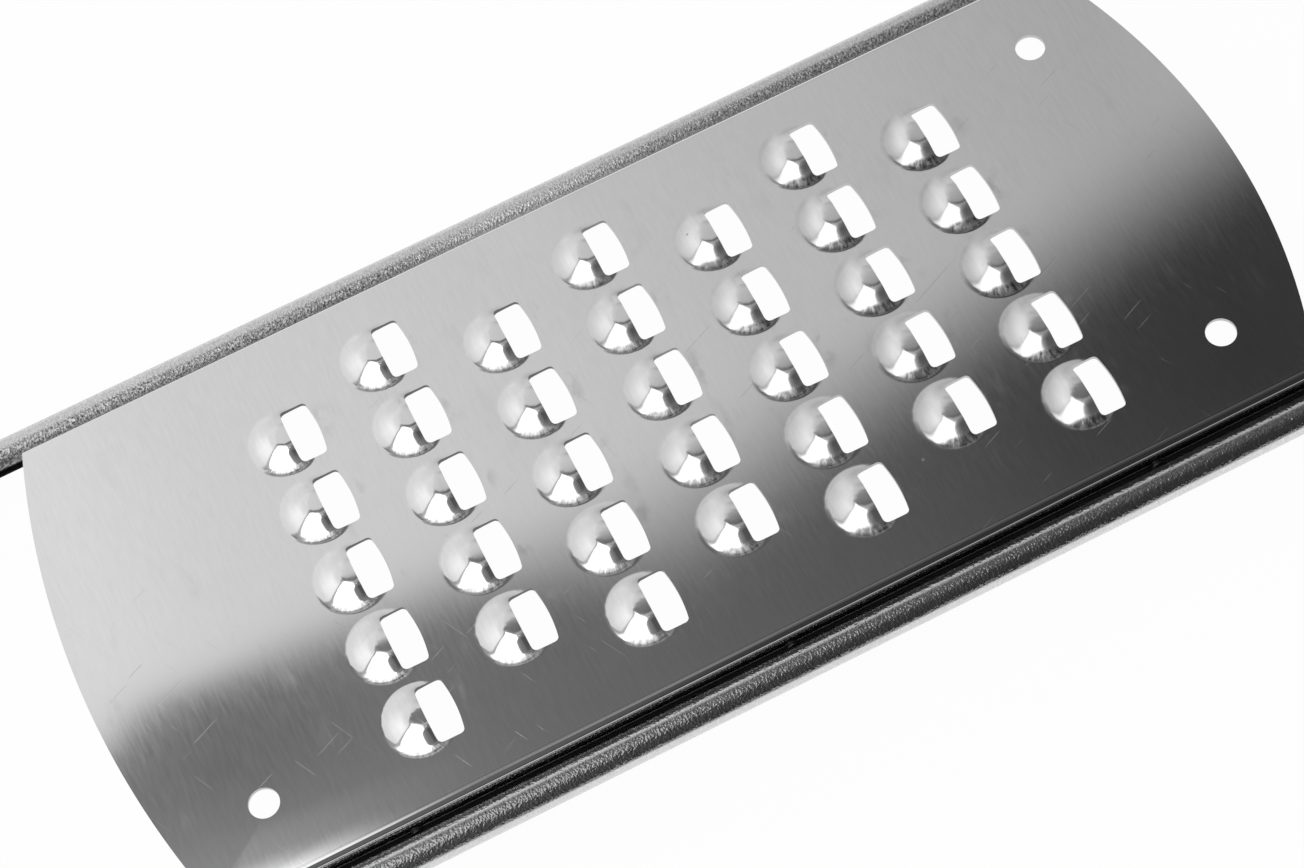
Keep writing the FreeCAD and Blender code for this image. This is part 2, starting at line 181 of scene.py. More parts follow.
class Graph:
    """A node tree that is filled by short calls."""

    def __init__(self, tree: bpy.types.NodeTree) -> None:
        """Takes an empty tree."""
        self.tree = tree
        self.tree.nodes.clear()

    def node(
        self,
        kind: str,
        settings: Optional[dict] = None,
        sockets: Optional[dict] = None,
    ) -> bpy.types.Node:
        """Adds any node.

        Args:
            kind: the node's type.
            settings: the node's own settings, set first. A ramp's stops are pairs of place and level.
            sockets: values or links of its input sockets, by name or number.

        Returns:
            The node.
        """
        node = self.tree.nodes.new(kind)
        for name, value in (settings or {}).items():
            if name == "stops":
                self._set_stops(node, value)
            else:
                setattr(node, name, value)
        for name, value in (sockets or {}).items():
            target = node.inputs[name]
            if isinstance(value, Signal):
                self.tree.links.new(value.socket, target)
            elif isinstance(value, Socket):
                self.tree.links.new(value, target)
            else:
                target.default_value = value
        return node

    @staticmethod
    def _set_stops(node: bpy.types.Node, stops: list) -> None:
        """Gives a ramp its grey stops."""
        elements = node.color_ramp.elements
        while len(elements) < len(stops):
            elements.new(0.5)
        for element, (place, level) in zip(elements, stops):
            element.position = place
            element.color = (level, level, level, 1.0)

    def signal(self, node: bpy.types.Node, output: Union[str, int] = 0) -> Signal:
        """Wraps one output of a node."""
        return Signal(self, node.outputs[output])

    def ramp(self, value: Signal, stops: Sequence[tuple[float, float]]) -> Signal:
        """Level read from a ramp.

        Args:
            value: what the ramp is read by.
            stops: pairs of value and level, by rising value.

        Returns:
            The level.
        """
        start = stops[0][0]
        span = stops[-1][0] - start
        least = min(level for _, level in stops)
        spread = max(level for _, level in stops) - least
        placed = [((place - start) / span, (level - least) / spread) for place, level in stops]
        node = self.node("ShaderNodeValToRGB", {"stops": placed}, {0: (value - start) / span})
        return self.signal(node) * spread + least

    def noise(self, scale: tuple, detail: float = 2.0, offset: tuple = (0.0, 0.0, 0.0)) -> Signal:
        """Noise from 0 to 1 on the piece's own coordinates.

        Args:
            scale: waves per metre along each axis.
            detail: octaves of finer noise.
            offset: shift of the pattern.

        Returns:
            The noise.
        """
        return self.noise_at(self.place(scale, offset), detail, 0.55)

    def noise_at(self, place: Socket, detail: float, roughness: float) -> Signal:
        """Noise from 0 to 1 at a place."""
        sockets = {"Vector": place, "Scale": 1.0, "Detail": detail, "Roughness": roughness}
        return self.signal(self.node("ShaderNodeTexNoise", {"noise_dimensions": "3D"}, sockets))

    def place(self, scale: tuple, offset: tuple = (0.0, 0.0, 0.0)) -> Socket:
        """The piece's own coordinates, scaled and shifted."""
        where = self.node("ShaderNodeTexCoord").outputs["Object"]
        sockets = {"Vector": where, "Scale": scale, "Location": offset}
        return self.node("ShaderNodeMapping", {}, sockets).outputs[0]

    def axes(self, offset: tuple = (0.0, 0.0, 0.0)) -> tuple[Signal, Signal, Signal]:
        """The piece's own coordinates in millimetres from a point."""
        shift = tuple(-value for value in offset)
        place = self.place((MILLIMETRES, MILLIMETRES, MILLIMETRES), shift)
        parts = self.node("ShaderNodeSeparateXYZ", {}, {0: place})
        return self.signal(parts, "X"), self.signal(parts, "Y"), self.signal(parts, "Z")

    def streaks(self, turn: float, length: float, width: float, share: float, offset: tuple) -> Signal:
        """Fine straight scratches that run one way.

        Args:
            turn: direction of the scratches in degrees from the X axis.
            length: usual length in millimetres.
            width: usual width in millimetres.
            share: level of the noise above which a scratch shows.
            offset: shift of the pattern.

        Returns:
            A mask that is 1 in a scratch.
        """
        long_waves = MILLIMETRES / (2.0 * length)
        wide_waves = MILLIMETRES / (2.0 * width)
        scale = (long_waves, wide_waves, long_waves)
        where = self.node("ShaderNodeTexCoord").outputs["Object"]
        sockets = {"Vector": where, "Rotation": (0.0, 0.0, math.radians(-turn))}
        turned = self.node("ShaderNodeMapping", {}, sockets).outputs[0]
        sockets = {"Vector": turned, "Scale": scale, "Location": offset}
        drawn = self.node("ShaderNodeMapping", {}, sockets)
        return self.noise_at(drawn.outputs[0], 1.0, 0.5).rise(share, share + 0.05)

    def specks(self, scale: float, size: float, share: float, offset: tuple) -> Signal:
        """Scattered small round specks.

        Args:
            scale: cells per metre.
            size: reach of a speck as a share of a cell.
            share: share of the cells that hold one.
            offset: shift of the pattern.

        Returns:
            A mask that is 1 in a speck.
        """
        sockets = {"Vector": self.place((scale, scale, scale), offset), "Scale": 1.0}
        cells = self.node("ShaderNodeTexVoronoi", {"feature": "F1"}, sockets)
        chosen = self.node("ShaderNodeSeparateColor", {}, {0: cells.outputs["Color"]})
        near = self.signal(cells, "Distance").fall(size * 0.4, size)
        return near * self.signal(chosen).fall(share, share + 0.01)

    def grey(self, level: Signal, tint: tuple) -> Socket:
        """A tint darkened by a level, as a colour."""
        return self.blend(level, (0.0, 0.0, 0.0, 1.0), (*tint, 1.0))

    def blend(self, share: Signal, first: Colour, second: Colour) -> Socket:
        """Colour between two colours, by a share from 0 to 1."""
        mix = self.node("ShaderNodeMix", {"data_type": "RGBA"}, {0: share, 6: first, 7: second})
        return mix.outputs[2]

    def bump(self, height: Signal, depth: float, strength: float = 1.0) -> Socket:
        """Normal of a surface that is raised by a height from 0 to 1 times a depth in metres."""
        sockets = {"Height": height, "Distance": depth, "Strength": strength}
        return self.node("ShaderNodeBump", {}, sockets).outputs[0]


def new_material(name: str) -> tuple[Material, Graph]:
    """An empty node material and its graph."""
    material = bpy.data.materials.new(name)
    material.use_nodes = True
    return material, Graph(material.node_tree)


def close_material(
    graph: Graph,
    colour: Socket,
    roughness: Signal,
    normal: Socket,
    metallic: float = 1.0,
) -> None:
    """Ends a graph in one surface shader."""
    sockets = {"Base Color": colour, "Metallic": metallic, "Roughness": roughness, "Normal": normal}
    shader = graph.node("ShaderNodeBsdfPrincipled", {}, sockets)
    graph.node("ShaderNodeOutputMaterial", {}, {"Surface": shader.outputs[0]})


@dataclass(frozen=True)
class ToothBlock:
    """Where the teeth stand: columns along the blade, every second one shifted by half a row."""

    centre: tuple = (60.7, 0.0, 11.5)
    shift: float = 1.36
    side_shift: float = 0.48
    column_pitch: float = 13.43
    row_pitch: float = 9.525
    columns: int = 7
    rows: int = 5
    setback: float = 0.6
    column_seam: tuple = (0.49, 0.51)
    end_fade: tuple = (46.6, 46.9)
    side_fade: tuple = (23.6, 23.8)

    def places(self) -> list[Vector]:
        """Places of the teeth from the middle of the blade."""
        found = []
        for column in range(self.columns):
            x = (column - (self.columns - 1) / 2.0) * self.column_pitch + self.shift
            stagger = self.row_pitch / 4.0 * (1.0 if column % 2 else -1.0)
            for row in range(self.rows):
                y = ((self.rows - 1) / 2.0 - row) * self.row_pitch + stagger + self.side_shift
                found.append(Vector((x, y, 0.0)))
        return found


def tooth_axes(graph: Graph, block: ToothBlock) -> tuple[Signal, ...]:
    """Places on the block of teeth and on the nearest tooth.

    Args:
        graph: the finish's graph.
        block: the block of teeth.

    Returns:
        Place along the block, place across it with the stagger taken off, place along and across the
        nearest tooth, and 1 inside the block.
    """
    x, y, _ = graph.axes((block.centre[0] + block.shift, block.centre[1] + block.side_shift, 0.0))
    start, stop = (block.column_pitch * share for share in block.column_seam)
    inner = abs(x.fold(block.column_pitch)).fall(start, stop)
    level = y - inner.between(-1.0, 1.0) * (block.row_pitch / 4.0)
    inside = abs(x).fall(*block.end_fade) * abs(level).fall(*block.side_fade)
    return x, level, x.fold(block.column_pitch / 2.0), level.fold(block.row_pitch / 2.0), inside


@dataclass(frozen=True)
class ToothMarks:
    """Where the press and use mark a tooth, and where shade is painted on it, in millimetres.

    A pair holds the two places that a mark fades between. Reaches are from the middle of the dome, and
    sides and lips from the middle of the lip. Runs are along the block of teeth.
    """

    least_reach: float = 0.05
    dome: tuple = (4.0, 4.5)
    lip: tuple = (0.4, 1.4)
    streaks_round: float = 8.0
    streaks_out: float = 0.9
    streaks_apart: tuple = (0.7, 0.3)
    # run along the block over which the painted shade and the blurring of the domes grow towards the tip
    tipward_run: tuple = (-40.0, 40.0)
    smudge_start: tuple = (3.4, 3.8)
    smudge_end: tuple = (4.0, 6.0)
    smudge_half: tuple = (1.2, 3.4)
    scuff_reach: float = 3.3
    scuff_growth: float = 0.6
    scuff_fade: float = 0.6
    scuff_side: tuple = (-3.0, -2.2)
    # painted shade on the far root of each dome
    shade_inner: tuple = (1.8, 3.8)
    shade_outer: tuple = (3.9, 4.6)
    shade_side: tuple = (-2.6, -1.8)
    shade_back: tuple = (-2.6, -0.6)
    blur_edge: tuple = (3.9, 4.5)
    root_reach: float = 4.05
    root_sway: float = 0.5
    # painted shade in the crease round the root of each dome
    crease_inner: tuple = (-0.22, -0.05)
    crease_outer: tuple = (0.05, 0.3)
    crease_side: tuple = (-2.9, -2.2)
    crease_lip: tuple = (0.0, 0.8)
    crease_run: tuple = (-45.0, 60.0)


@dataclass(frozen=True)
class RolledSheet:
    """Bright rolled stainless: a fine grain across the sheet, drawn streaks on the teeth, and painted shade
    on the domes, in their root creases, in the gap beside the rod and along the near bend.
    """

    block: ToothBlock
    marks: ToothMarks = ToothMarks()
    tint: tuple = (0.80, 0.80, 0.80)
    roughness: float = 0.055
    # painted shade in the gap beside the rod: distance from the middle line, and the heights it fades
    # between
    crevice: tuple = (30.92, 8.6, 9.2)
    # painted shade along the near bend: where it starts across, and the run along which it deepens
    near_bend: tuple = (-30.2, -29.9)
    near_run: tuple = (10.0, 110.0)
    name: str = "rolled_sheet"

    def _teeth(self, graph: Graph) -> tuple[Signal, ...]:
        """Marks that the press leaves on and round the teeth.

        Args:
            graph: the finish's graph.

        Returns:
            Streaks from 0 to 1, the scuffed near flanks that they show on, painted shade on the domes that
            deepens towards the tip, the blurring of the domes towards the tip, painted shade in the creases
            at their roots, and the smears before the mouths.
        """
        marks = self.marks
        x, level, along, across, inside = tooth_axes(graph, self.block)
        behind = along + self.block.setback
        reach = ((behind * behind + across * across) ** 0.5).most(marks.least_reach)
        dome = reach.fall(*marks.dome) * along.fall(*marks.lip) * inside
        apart_along, apart_across = marks.streaks_apart
        apart = (x - along) * apart_along + (level - across) * apart_across
        round_x, round_y = (side / reach * marks.streaks_round for side in (behind, across))
        sockets = {0: round_x, 1: round_y, 2: reach * marks.streaks_out + apart}
        drawn = graph.noise_at(graph.node("ShaderNodeCombineXYZ", {}, sockets).outputs[0], 2.0, 0.6)
        before = along.rise(*marks.smudge_start) * along.fall(*marks.smudge_end)
        before = before * abs(across).fall(*marks.smudge_half) * inside
        smudge = before * graph.noise((520.0, 330.0, 330.0), 3.0, (6.0, 2.0, 0.0)).rise(0.5, 0.68)
        tipward = x.rise(*marks.tipward_run)
        scuffed = (reach - marks.scuff_reach + tipward * marks.scuff_growth).rise(0.0, marks.scuff_fade)
        scuffed = dome * scuffed * across.fall(*marks.scuff_side)
        shaded = reach.rise(*marks.shade_inner) * reach.fall(*marks.shade_outer)
        shaded = shaded * across.rise(*marks.shade_side) * behind.fall(*marks.shade_back)
        # painted shade: the scuffed flanks and the far root of each dome are darkened, more towards the tip
        painted_shade = scuffed * (tipward * 0.48 + 0.06) + shaded * inside * tipward * 0.3
        blurred = reach.fall(*marks.blur_edge) * inside * (tipward * 0.1 + 0.02)
        # painted shade in the crease round each dome's root, fading towards the tip
        root = reach - behind * across / (reach * reach) * marks.root_sway - marks.root_reach
        crease = root.rise(*marks.crease_inner) * root.fall(*marks.crease_outer)
        crease = crease * across.fall(*marks.crease_side) * along.fall(*marks.crease_lip)
        crease = crease * x.fall(*marks.crease_run)
        return drawn, scuffed, painted_shade, blurred, crease * inside, smudge

    def material(self) -> Material:
        """Builds the finish."""
        material, graph = new_material(self.name)
        grain = graph.noise(Grain.ACROSS.value, 3.0)
        clouds = graph.noise((90.0, 60.0, 60.0), 3.0, (4.0, 1.0, 0.0))
        smears = graph.noise((240.0, 90.0, 90.0), 4.0, (9.0, 3.0, 0.0)).rise(0.58, 0.72)
        specks = graph.specks(190.0, 0.045, 0.10, (0.3, 0.7, 0.0))
        scratch = graph.streaks(24.0, 5.0, 0.1, 0.76, (2.0, 5.0, 0.0))
        scratch = scratch.most(graph.streaks(-63.0, 4.0, 0.08, 0.77, (7.0, 1.0, 0.0)))
        drawn, scuffed, painted_shade, blurred, crease, smudge = self._teeth(graph)
        x, y, z = graph.axes()
        edge, low, high = self.crevice
        # painted shade: the flange's outer wall is darkened low down, in the gap beside the rod
        crevice_shade = abs(y).rise(edge, edge + 0.04) * z.fall(low, high)
        level = 0.94 + (grain - 0.5) * 0.12 + (clouds - 0.5) * 0.06 - smears * 0.04
        level = level - specks * 0.4 - scratch * 0.04 - smudge * 0.1
        # painted shade of the domes and of their root creases is taken off the tone here
        level = level - drawn.fall(0.38, 0.62) * scuffed * 0.3 - painted_shade - crease * 0.4
        # painted shade along the near bend, deeper towards the tip, dims its bright reflection
        bend_shade = y.fall(*self.near_bend) * (x.rise(*self.near_run) * 0.3 + 0.35)
        level = level.least(1.0).most(0.1) * (1.0 - crevice_shade * 0.99) * (1.0 - bend_shade)
        rough = self.roughness + (grain - 0.5) * 0.04 + (clouds - 0.5) * 0.03 + smears * 0.03
        rough = rough + specks * 0.2 + blurred + smudge * 0.06 + scuffed * 0.12 + crease * 0.2 + crevice_shade * 0.9
        normal = graph.bump(grain * 0.02 - scratch * 0.05 + drawn * scuffed, 0.00002)
        close_material(graph, graph.grey(level, self.tint), rough, normal)
        return material


@dataclass(frozen=True)
class ShearedEdge:
    """Cut wall of the sheet, with the tearing that a punch leaves and painted shade on the far walls of the
    mouths.
    """

    block: ToothBlock
    tint: tuple = (0.62, 0.62, 0.61)
    # painted shade on the far walls of the mouths: where it starts across the tooth, and the run over which
    # it fades towards the tip
    far_wall: tuple = (2.9, 3.3)
    far_wall_shade_run: tuple = (-10.0, 25.0)
    name: str = "sheared_edge"

    def material(self) -> Material:
        """Builds the finish."""
        material, graph = new_material(self.name)
        tears = graph.noise((3200.0, 3200.0, 420.0), 3.0)
        x, _, _, across, inside = tooth_axes(graph, self.block)
        # painted shade on the far wall of each mouth, fading towards the tip
        far_wall_shade = across.rise(*self.far_wall) * x.fall(*self.far_wall_shade_run) * inside
        level = tears.between(0.75, 1.0) * (1.0 - far_wall_shade * 0.75)
        rough = tears.between(0.28, 0.46)
        close_material(graph, graph.grey(level, self.tint), rough, graph.bump(tears, 0.00003))
        return material


@dataclass(frozen=True)
class TumbledRod:
    """Tumbled rod with a pebbled skin that breaks its reflections into specks, and painted shade in the gap
    by the sheet, on the far rod's inner side and on the near rod.
    """

    tint: tuple = (0.76, 0.76, 0.76)
    blade_run: tuple = (-10.0, 131.5)
    run_fade: float = 3.0
    # painted shade in the gap beside the sheet: distance from the middle line, and the heights it fades
    # between
    crevice_shade: tuple = (32.0, 8.5, 8.9)
    crevice_shade_fade: float = 0.2
    far_side: tuple = (20.0, 31.0)
    # painted shade: a dark strip along the far rod's inner side, and its depth along the blade
    inner_edge: tuple = (32.9, 33.4)
    inner_shade_run: tuple = ((0.0, 1.0), (40.0, 0.95), (52.0, 0.3), (64.0, 0.2), (76.0, 0.7), (100.0, 0.9))
    # painted shade: a darker band across the near rod's outer half
    lower_top: tuple = (-33.2, -32.85)
    lower_foot: tuple = (-35.15, -35.0)
    name: str = "tumbled_rod"

    def material(self) -> Material:
        """Builds the finish."""
        material, graph = new_material(self.name)
        pebbles = graph.noise((3600.0, 3600.0, 3600.0), 1.0)
        dents = graph.noise((1100.0, 1200.0, 1200.0), 2.0, (3.0, 0.0, 1.0))
        worn = graph.noise((110.0, 260.0, 260.0), 3.0, (1.0, 2.0, 0.0)).rise(0.45, 0.7)
        x, y, z = graph.axes()
        start, stop = self.blade_run
        beside = x.rise(start - self.run_fade, start) * x.fall(stop, stop + self.run_fade)
        # painted shade in the gap between the rod's inner side and the sheet's flange, beside the blade
        edge, low, high = self.crevice_shade
        crevice_shade = abs(y).fall(edge, edge + self.crevice_shade_fade) * z.fall(low, high) * beside
        dull = y.rise(*self.far_side)
        # painted shade: a dark strip along the far rod's inner side, varying along the blade
        inner = dull * y.fall(*self.inner_edge) * graph.ramp(x, self.inner_shade_run)
        # painted shade: a darker band on the near rod's outer half beside the blade
        near_band_shade = y.fall(*self.lower_top) * y.rise(*self.lower_foot) * beside
        speckle = 0.4 + dull * 0.3 + inner * 0.8
        level = 0.88 + (pebbles - 0.5) * speckle + (dents - 0.5) * 0.12 - inner * 0.42
        level = level * (1.0 - near_band_shade * 0.6)
        level = level.least(1.0).most(0.03) * (1.0 - crevice_shade * 0.98)
        rough = 0.17 + dull * 0.19 + (dents - 0.5) * 0.08 - worn * 0.04 + crevice_shade * 0.7
        normal = graph.bump(pebbles + dents * 0.4, 0.000055)
        close_material(graph, graph.grey(level, self.tint), rough, normal)
        return material


@dataclass(frozen=True)
class SatinSteel:
    """Satin stainless, brushed in one direction and worn brighter in patches."""

    name: str
    tint: tuple = (0.74, 0.74, 0.735)
    roughness: float = 0.3
    grain: Grain = Grain.ALONG

    def material(self) -> Material:
        """Builds the finish."""
        material, graph = new_material(self.name)
        brushed = graph.noise(self.grain.value, 4.0)
        fine = graph.noise(tuple(3.0 * wave for wave in self.grain.value), 2.0, (5.0, 1.0, 2.0))
        worn = graph.noise((45.0, 70.0, 70.0), 3.0, (2.0, 8.0, 1.0)).rise(0.3, 0.8)
        marks = graph.specks(240.0, 0.05, 0.06, (0.2, 0.4, 0.6))
        level = 0.9 + (brushed - 0.5) * 0.18 + (fine - 0.5) * 0.1 - marks * 0.3
        rough = self.roughness + (brushed - 0.5) * 0.12 - worn * 0.03
        normal = graph.bump(brushed + fine * 0.5 - marks * 0.6, 0.000012)
        close_material(graph, graph.grey(level.least(1.0), self.tint), rough, normal)
        return material


@dataclass(frozen=True)
class WeldedSteel:
    """Steel that a weld has burnt dark, with a straw and blue heat tint."""

    straw: tuple = (0.075, 0.062, 0.05, 1.0)
    blue: tuple = (0.045, 0.05, 0.065, 1.0)
    name: str = "welded_steel"

    def material(self) -> Material:
        """Builds the finish."""
        material, graph = new_material(self.name)
        heat = graph.noise((900.0, 900.0, 900.0), 3.0)
        scale = graph.noise((4200.0, 4200.0, 4200.0), 3.0, (1.0, 4.0, 2.0))
        tinted = graph.blend(heat.rise(0.38, 0.64), self.straw, self.blue)
        close_material(graph, tinted, scale.between(0.32, 0.6), graph.bump(scale, 0.00006))
        return material


@dataclass(frozen=True)
class MouldedRubber:
    """Dark moulded rubber with a fine spark-worn skin and pale dust."""

    tint: tuple = (0.045, 0.045, 0.047)
    dust: tuple = (0.16, 0.16, 0.155, 1.0)
    name: str = "moulded_rubber"

    def material(self) -> Material:
        """Builds the finish."""
        material, graph = new_material(self.name)
        skin = graph.noise((2600.0, 2600.0, 2600.0), 3.0)
        dust = graph.noise((160.0, 160.0, 160.0), 4.0, (3.0, 3.0, 1.0)).rise(0.5, 0.75)
        level = skin.between(0.7, 1.0)
        dusty = graph.blend(dust * 0.25, graph.grey(level, self.tint), self.dust)
        rough = skin.between(0.52, 0.72) + dust * 0.08
        close_material(graph, dusty, rough, graph.bump(skin, 0.00005), metallic=0.0)
        return material


def add_object(name: str, data: bpy.types.ID) -> bpy.types.Object:
    """Makes an object in the scene's own collection."""
    made = bpy.data.objects.new(name, data)
    bpy.context.scene.collection.objects.link(made)
    return made


def dress(node: str, material: Material) -> None:
    """Gives a carried-over solid its finish."""
    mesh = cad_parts[node].data
    mesh.materials.clear()
    mesh.materials.append(material)
    LOG.info("dressed %s with %s", node, material.name)


def finish_piece(
    shape: Shape,
    name: str,
    node: str,
    materials: list[Material],
    crease: float = 32.0,
) -> bpy.types.Object:
    """Turns a shape in millimetres into a piece that stands for a solid.

    Args:
        shape: the shape, in the part's frame. It is freed.
        name: name of the piece.
        node: solid that the piece stands for.
        materials: finishes, in the order of the faces' numbers.
        crease: angle in degrees past which an edge stays sharp.

    Returns:
        The piece.
    """
    for face in shape.faces:
        face.smooth = True
    for edge in shape.edges:
        edge.smooth = edge.calc_face_angle(0.0) < math.radians(crease)
    bmesh.ops.scale(shape, verts=shape.verts[:], vec=(METRES, METRES, METRES))
    mesh = bpy.data.meshes.new(name)
    shape.to_mesh(mesh)
    shape.free()
    for material in materials:
        mesh.materials.append(material)
    piece = add_object(name, mesh)
    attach(piece, BODY)
    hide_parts(node)
    LOG.info("built %s: %d faces", name, len(mesh.polygons))
    return piece


def new_verts(result: dict, key: str = "geom") -> list[bmesh.types.BMVert]:
    """Vertices among what an operator returned."""
    return [item for item in result[key] if isinstance(item, bmesh.types.BMVert)]


def new_edges(result: dict, key: str = "geom") -> Edges:
    """Edges among what an operator returned."""
    return [item for item in result[key] if isinstance(item, bmesh.types.BMEdge)]


def ease(value: float) -> float:
    """Eased share from 0 to 1."""
    held = min(max(value, 0.0), 1.0)
    return held * held * (3.0 - 2.0 * held)


def bow(depth: float, half: float, offset: float) -> float:
    """Rise of a bowed edge.

    Args:
        depth: rise of the bow at its middle.
        half: half of the chord.
        offset: distance from the middle of the chord.

    Returns:
        Rise at that distance.
    """
    radius = (half * half + depth * depth) / (2.0 * depth)
    return math.sqrt(radius * radius - offset * offset) - radius + depth


@dataclass
class Tooth:
    """One half-dome tooth with its mouth, at the origin and open towards +X."""

    setback: float = 0.6
    crown: float = 1.05
    crown_lean: float = 0.8
    shoulder: float = 1.95
    flank_lean: float = 29.5
    slack: float = 3.2
    foot: float = 3.2
    reach: float = 4.5
    run_out: float = 2.2
    steps: int = 200
    collar_back: float = 0.35
    collar: tuple = (5.15, 4.752)
    brim_share: float = 0.9975
    mouth_half: float = 3.525
    mouth_front: float = 3.27
    mouth_corner: float = 0.55
    mouth_bow: float = 0.26
    lip_hollow: float = 0.08
    rings: int = 22
    crowding: float = 1.25
    hub: float = 0.9
    corner_steps: int = 3
    cuts: tuple = (("lip", 19), ("front", 9), ("sides", 3))

    def lean(self, reach: float) -> float:
        """Lean of the dome in degrees: a flat crown, a shoulder, a slacker flank and a root."""
        crown = self.crown_lean * min(reach / self.crown, 1.0)
        flank = self.flank_lean - self.crown_lean - self.slack * max(reach - self.shoulder, 0.0)
        lean = crown + flank * ease((reach - self.crown) / (self.shoulder - self.crown))
        return lean * (1.0 - ease((reach - self.foot) / (self.reach - self.foot)))

    @cached_property
    def heights(self) -> list[float]:
        """Heights at even steps from the middle of the dome to its foot."""
        step = self.reach / self.steps
        middles = [(index + 0.5) * step for index in range(self.steps)]
        drops = [math.tan(math.radians(self.lean(reach))) * step for reach in middles]
        return [sum(drops[index:]) for index in range(self.steps + 1)]

    def level(self, x: float, y: float) -> float:
        """Height of the tooth above the sheet.

        Args:
            x: place towards the tip.
            y: place across the sheet.

        Returns:
            Height of the dome, which runs out beside the mouth.
        """
        place = min(math.hypot(x + self.setback, y) / self.reach, 1.0) * self.steps
        index = min(int(place), self.steps - 1)
        inner, outer = self.heights[index:index + 2]
        return (inner + (outer - inner) * (place - index)) * (1.0 - ease(x / self.run_out))

    def off_collar(self, spot: Vector) -> float:
        """Distance of a place from the collar, as a share of the collar's reach."""
        along, across = self.collar
        return abs(math.hypot((spot.x + self.collar_back) / along, spot.y / across) - 1.0)

    def _cut_mouth(self, shape: Shape) -> Edges:
        """Edges of the mouth: a rounded rectangle with a hollow lip and a bowed front."""
        grid = bmesh.ops.create_grid(shape, x_segments=1, y_segments=1, size=1.0)
        middle = (self.mouth_front + self.lip_hollow) / 2.0
        half_length = (self.mouth_front - self.lip_hollow) / 2.0
        bmesh.ops.scale(shape, verts=grid["verts"], vec=(half_length, self.mouth_half, 1.0))
        bmesh.ops.translate(shape, verts=grid["verts"], vec=(middle, 0.0, 0.0))
        bmesh.ops.bevel(
            shape, geom=shape.verts[:], affect="VERTICES", offset=self.mouth_corner, offset_type="OFFSET",
            segments=self.corner_steps, profile=0.5, material=-1,
        )
        bmesh.ops.delete(shape, geom=shape.faces[:], context="FACES_ONLY")
        side = self.mouth_half - self.mouth_corner
        long_edges = {"lip": [], "front": [], "sides": []}
        for edge in shape.edges:
            ends = [vert.co for vert in edge.verts]
            on_lip = min(abs(end.x - self.lip_hollow) for end in ends) < SAME_PLACE
            if on_lip and edge.calc_length() > side:
                long_edges["lip"].append(edge)
            elif edge.calc_length() > side:
                long_edges["front"].append(edge)
            elif edge.calc_length() > self.mouth_corner:
                long_edges["sides"].append(edge)
        for name, cuts in self.cuts:
            bmesh.ops.subdivide_edges(shape, edges=long_edges[name], cuts=cuts)
        for vert in shape.verts:
            if abs(vert.co.y) < side:
                if vert.co.x > middle:
                    vert.co.x += bow(self.mouth_bow, side, vert.co.y)
                else:
                    vert.co.x -= bow(self.lip_hollow, side, vert.co.y)
        return shape.edges[:]

    def build(self, shape: Shape) -> None:
        """Draws the sheet out from the mouth ring by ring, and presses the rings into the dome."""
        loop = self._cut_mouth(shape)
        start: dict[bmesh.types.BMVert, Vector] = {vert: vert.co.copy() for vert in shape.verts}
        steps = [1.0 - (1.0 - step / self.rings) ** self.crowding for step in range(1, self.rings + 1)]
        for share in [*steps, None]:
            ring = bmesh.ops.extrude_edge_only(shape, edges=loop)
            fresh = new_verts(ring)
            grown: dict[bmesh.types.BMVert, Vector] = {}
            for vert in fresh:
                ends = [edge.other_vert(vert) for edge in vert.link_edges]
                origin = next(start[end] for end in ends if end in start)
                hub = self.hub * (1.0 - ease(origin.x / self.mouth_front))
                turn = math.atan2(origin.y, origin.x - hub)
                spoke = Vector((math.cos(turn) * self.collar[0], math.sin(turn) * self.collar[1], 0.0))
                middle = Vector((-self.collar_back, 0.0, 0.0))
                brim = middle + spoke * self.brim_share
                vert.co = middle + spoke if share is None else origin.lerp(brim, share)
                grown[vert] = origin
            start = grown
            loop = [edge for edge in new_edges(ring) if all(vert in grown for vert in edge.verts)]
        for vert in shape.verts:
            vert.co.z = self.level(vert.co.x, vert.co.y)


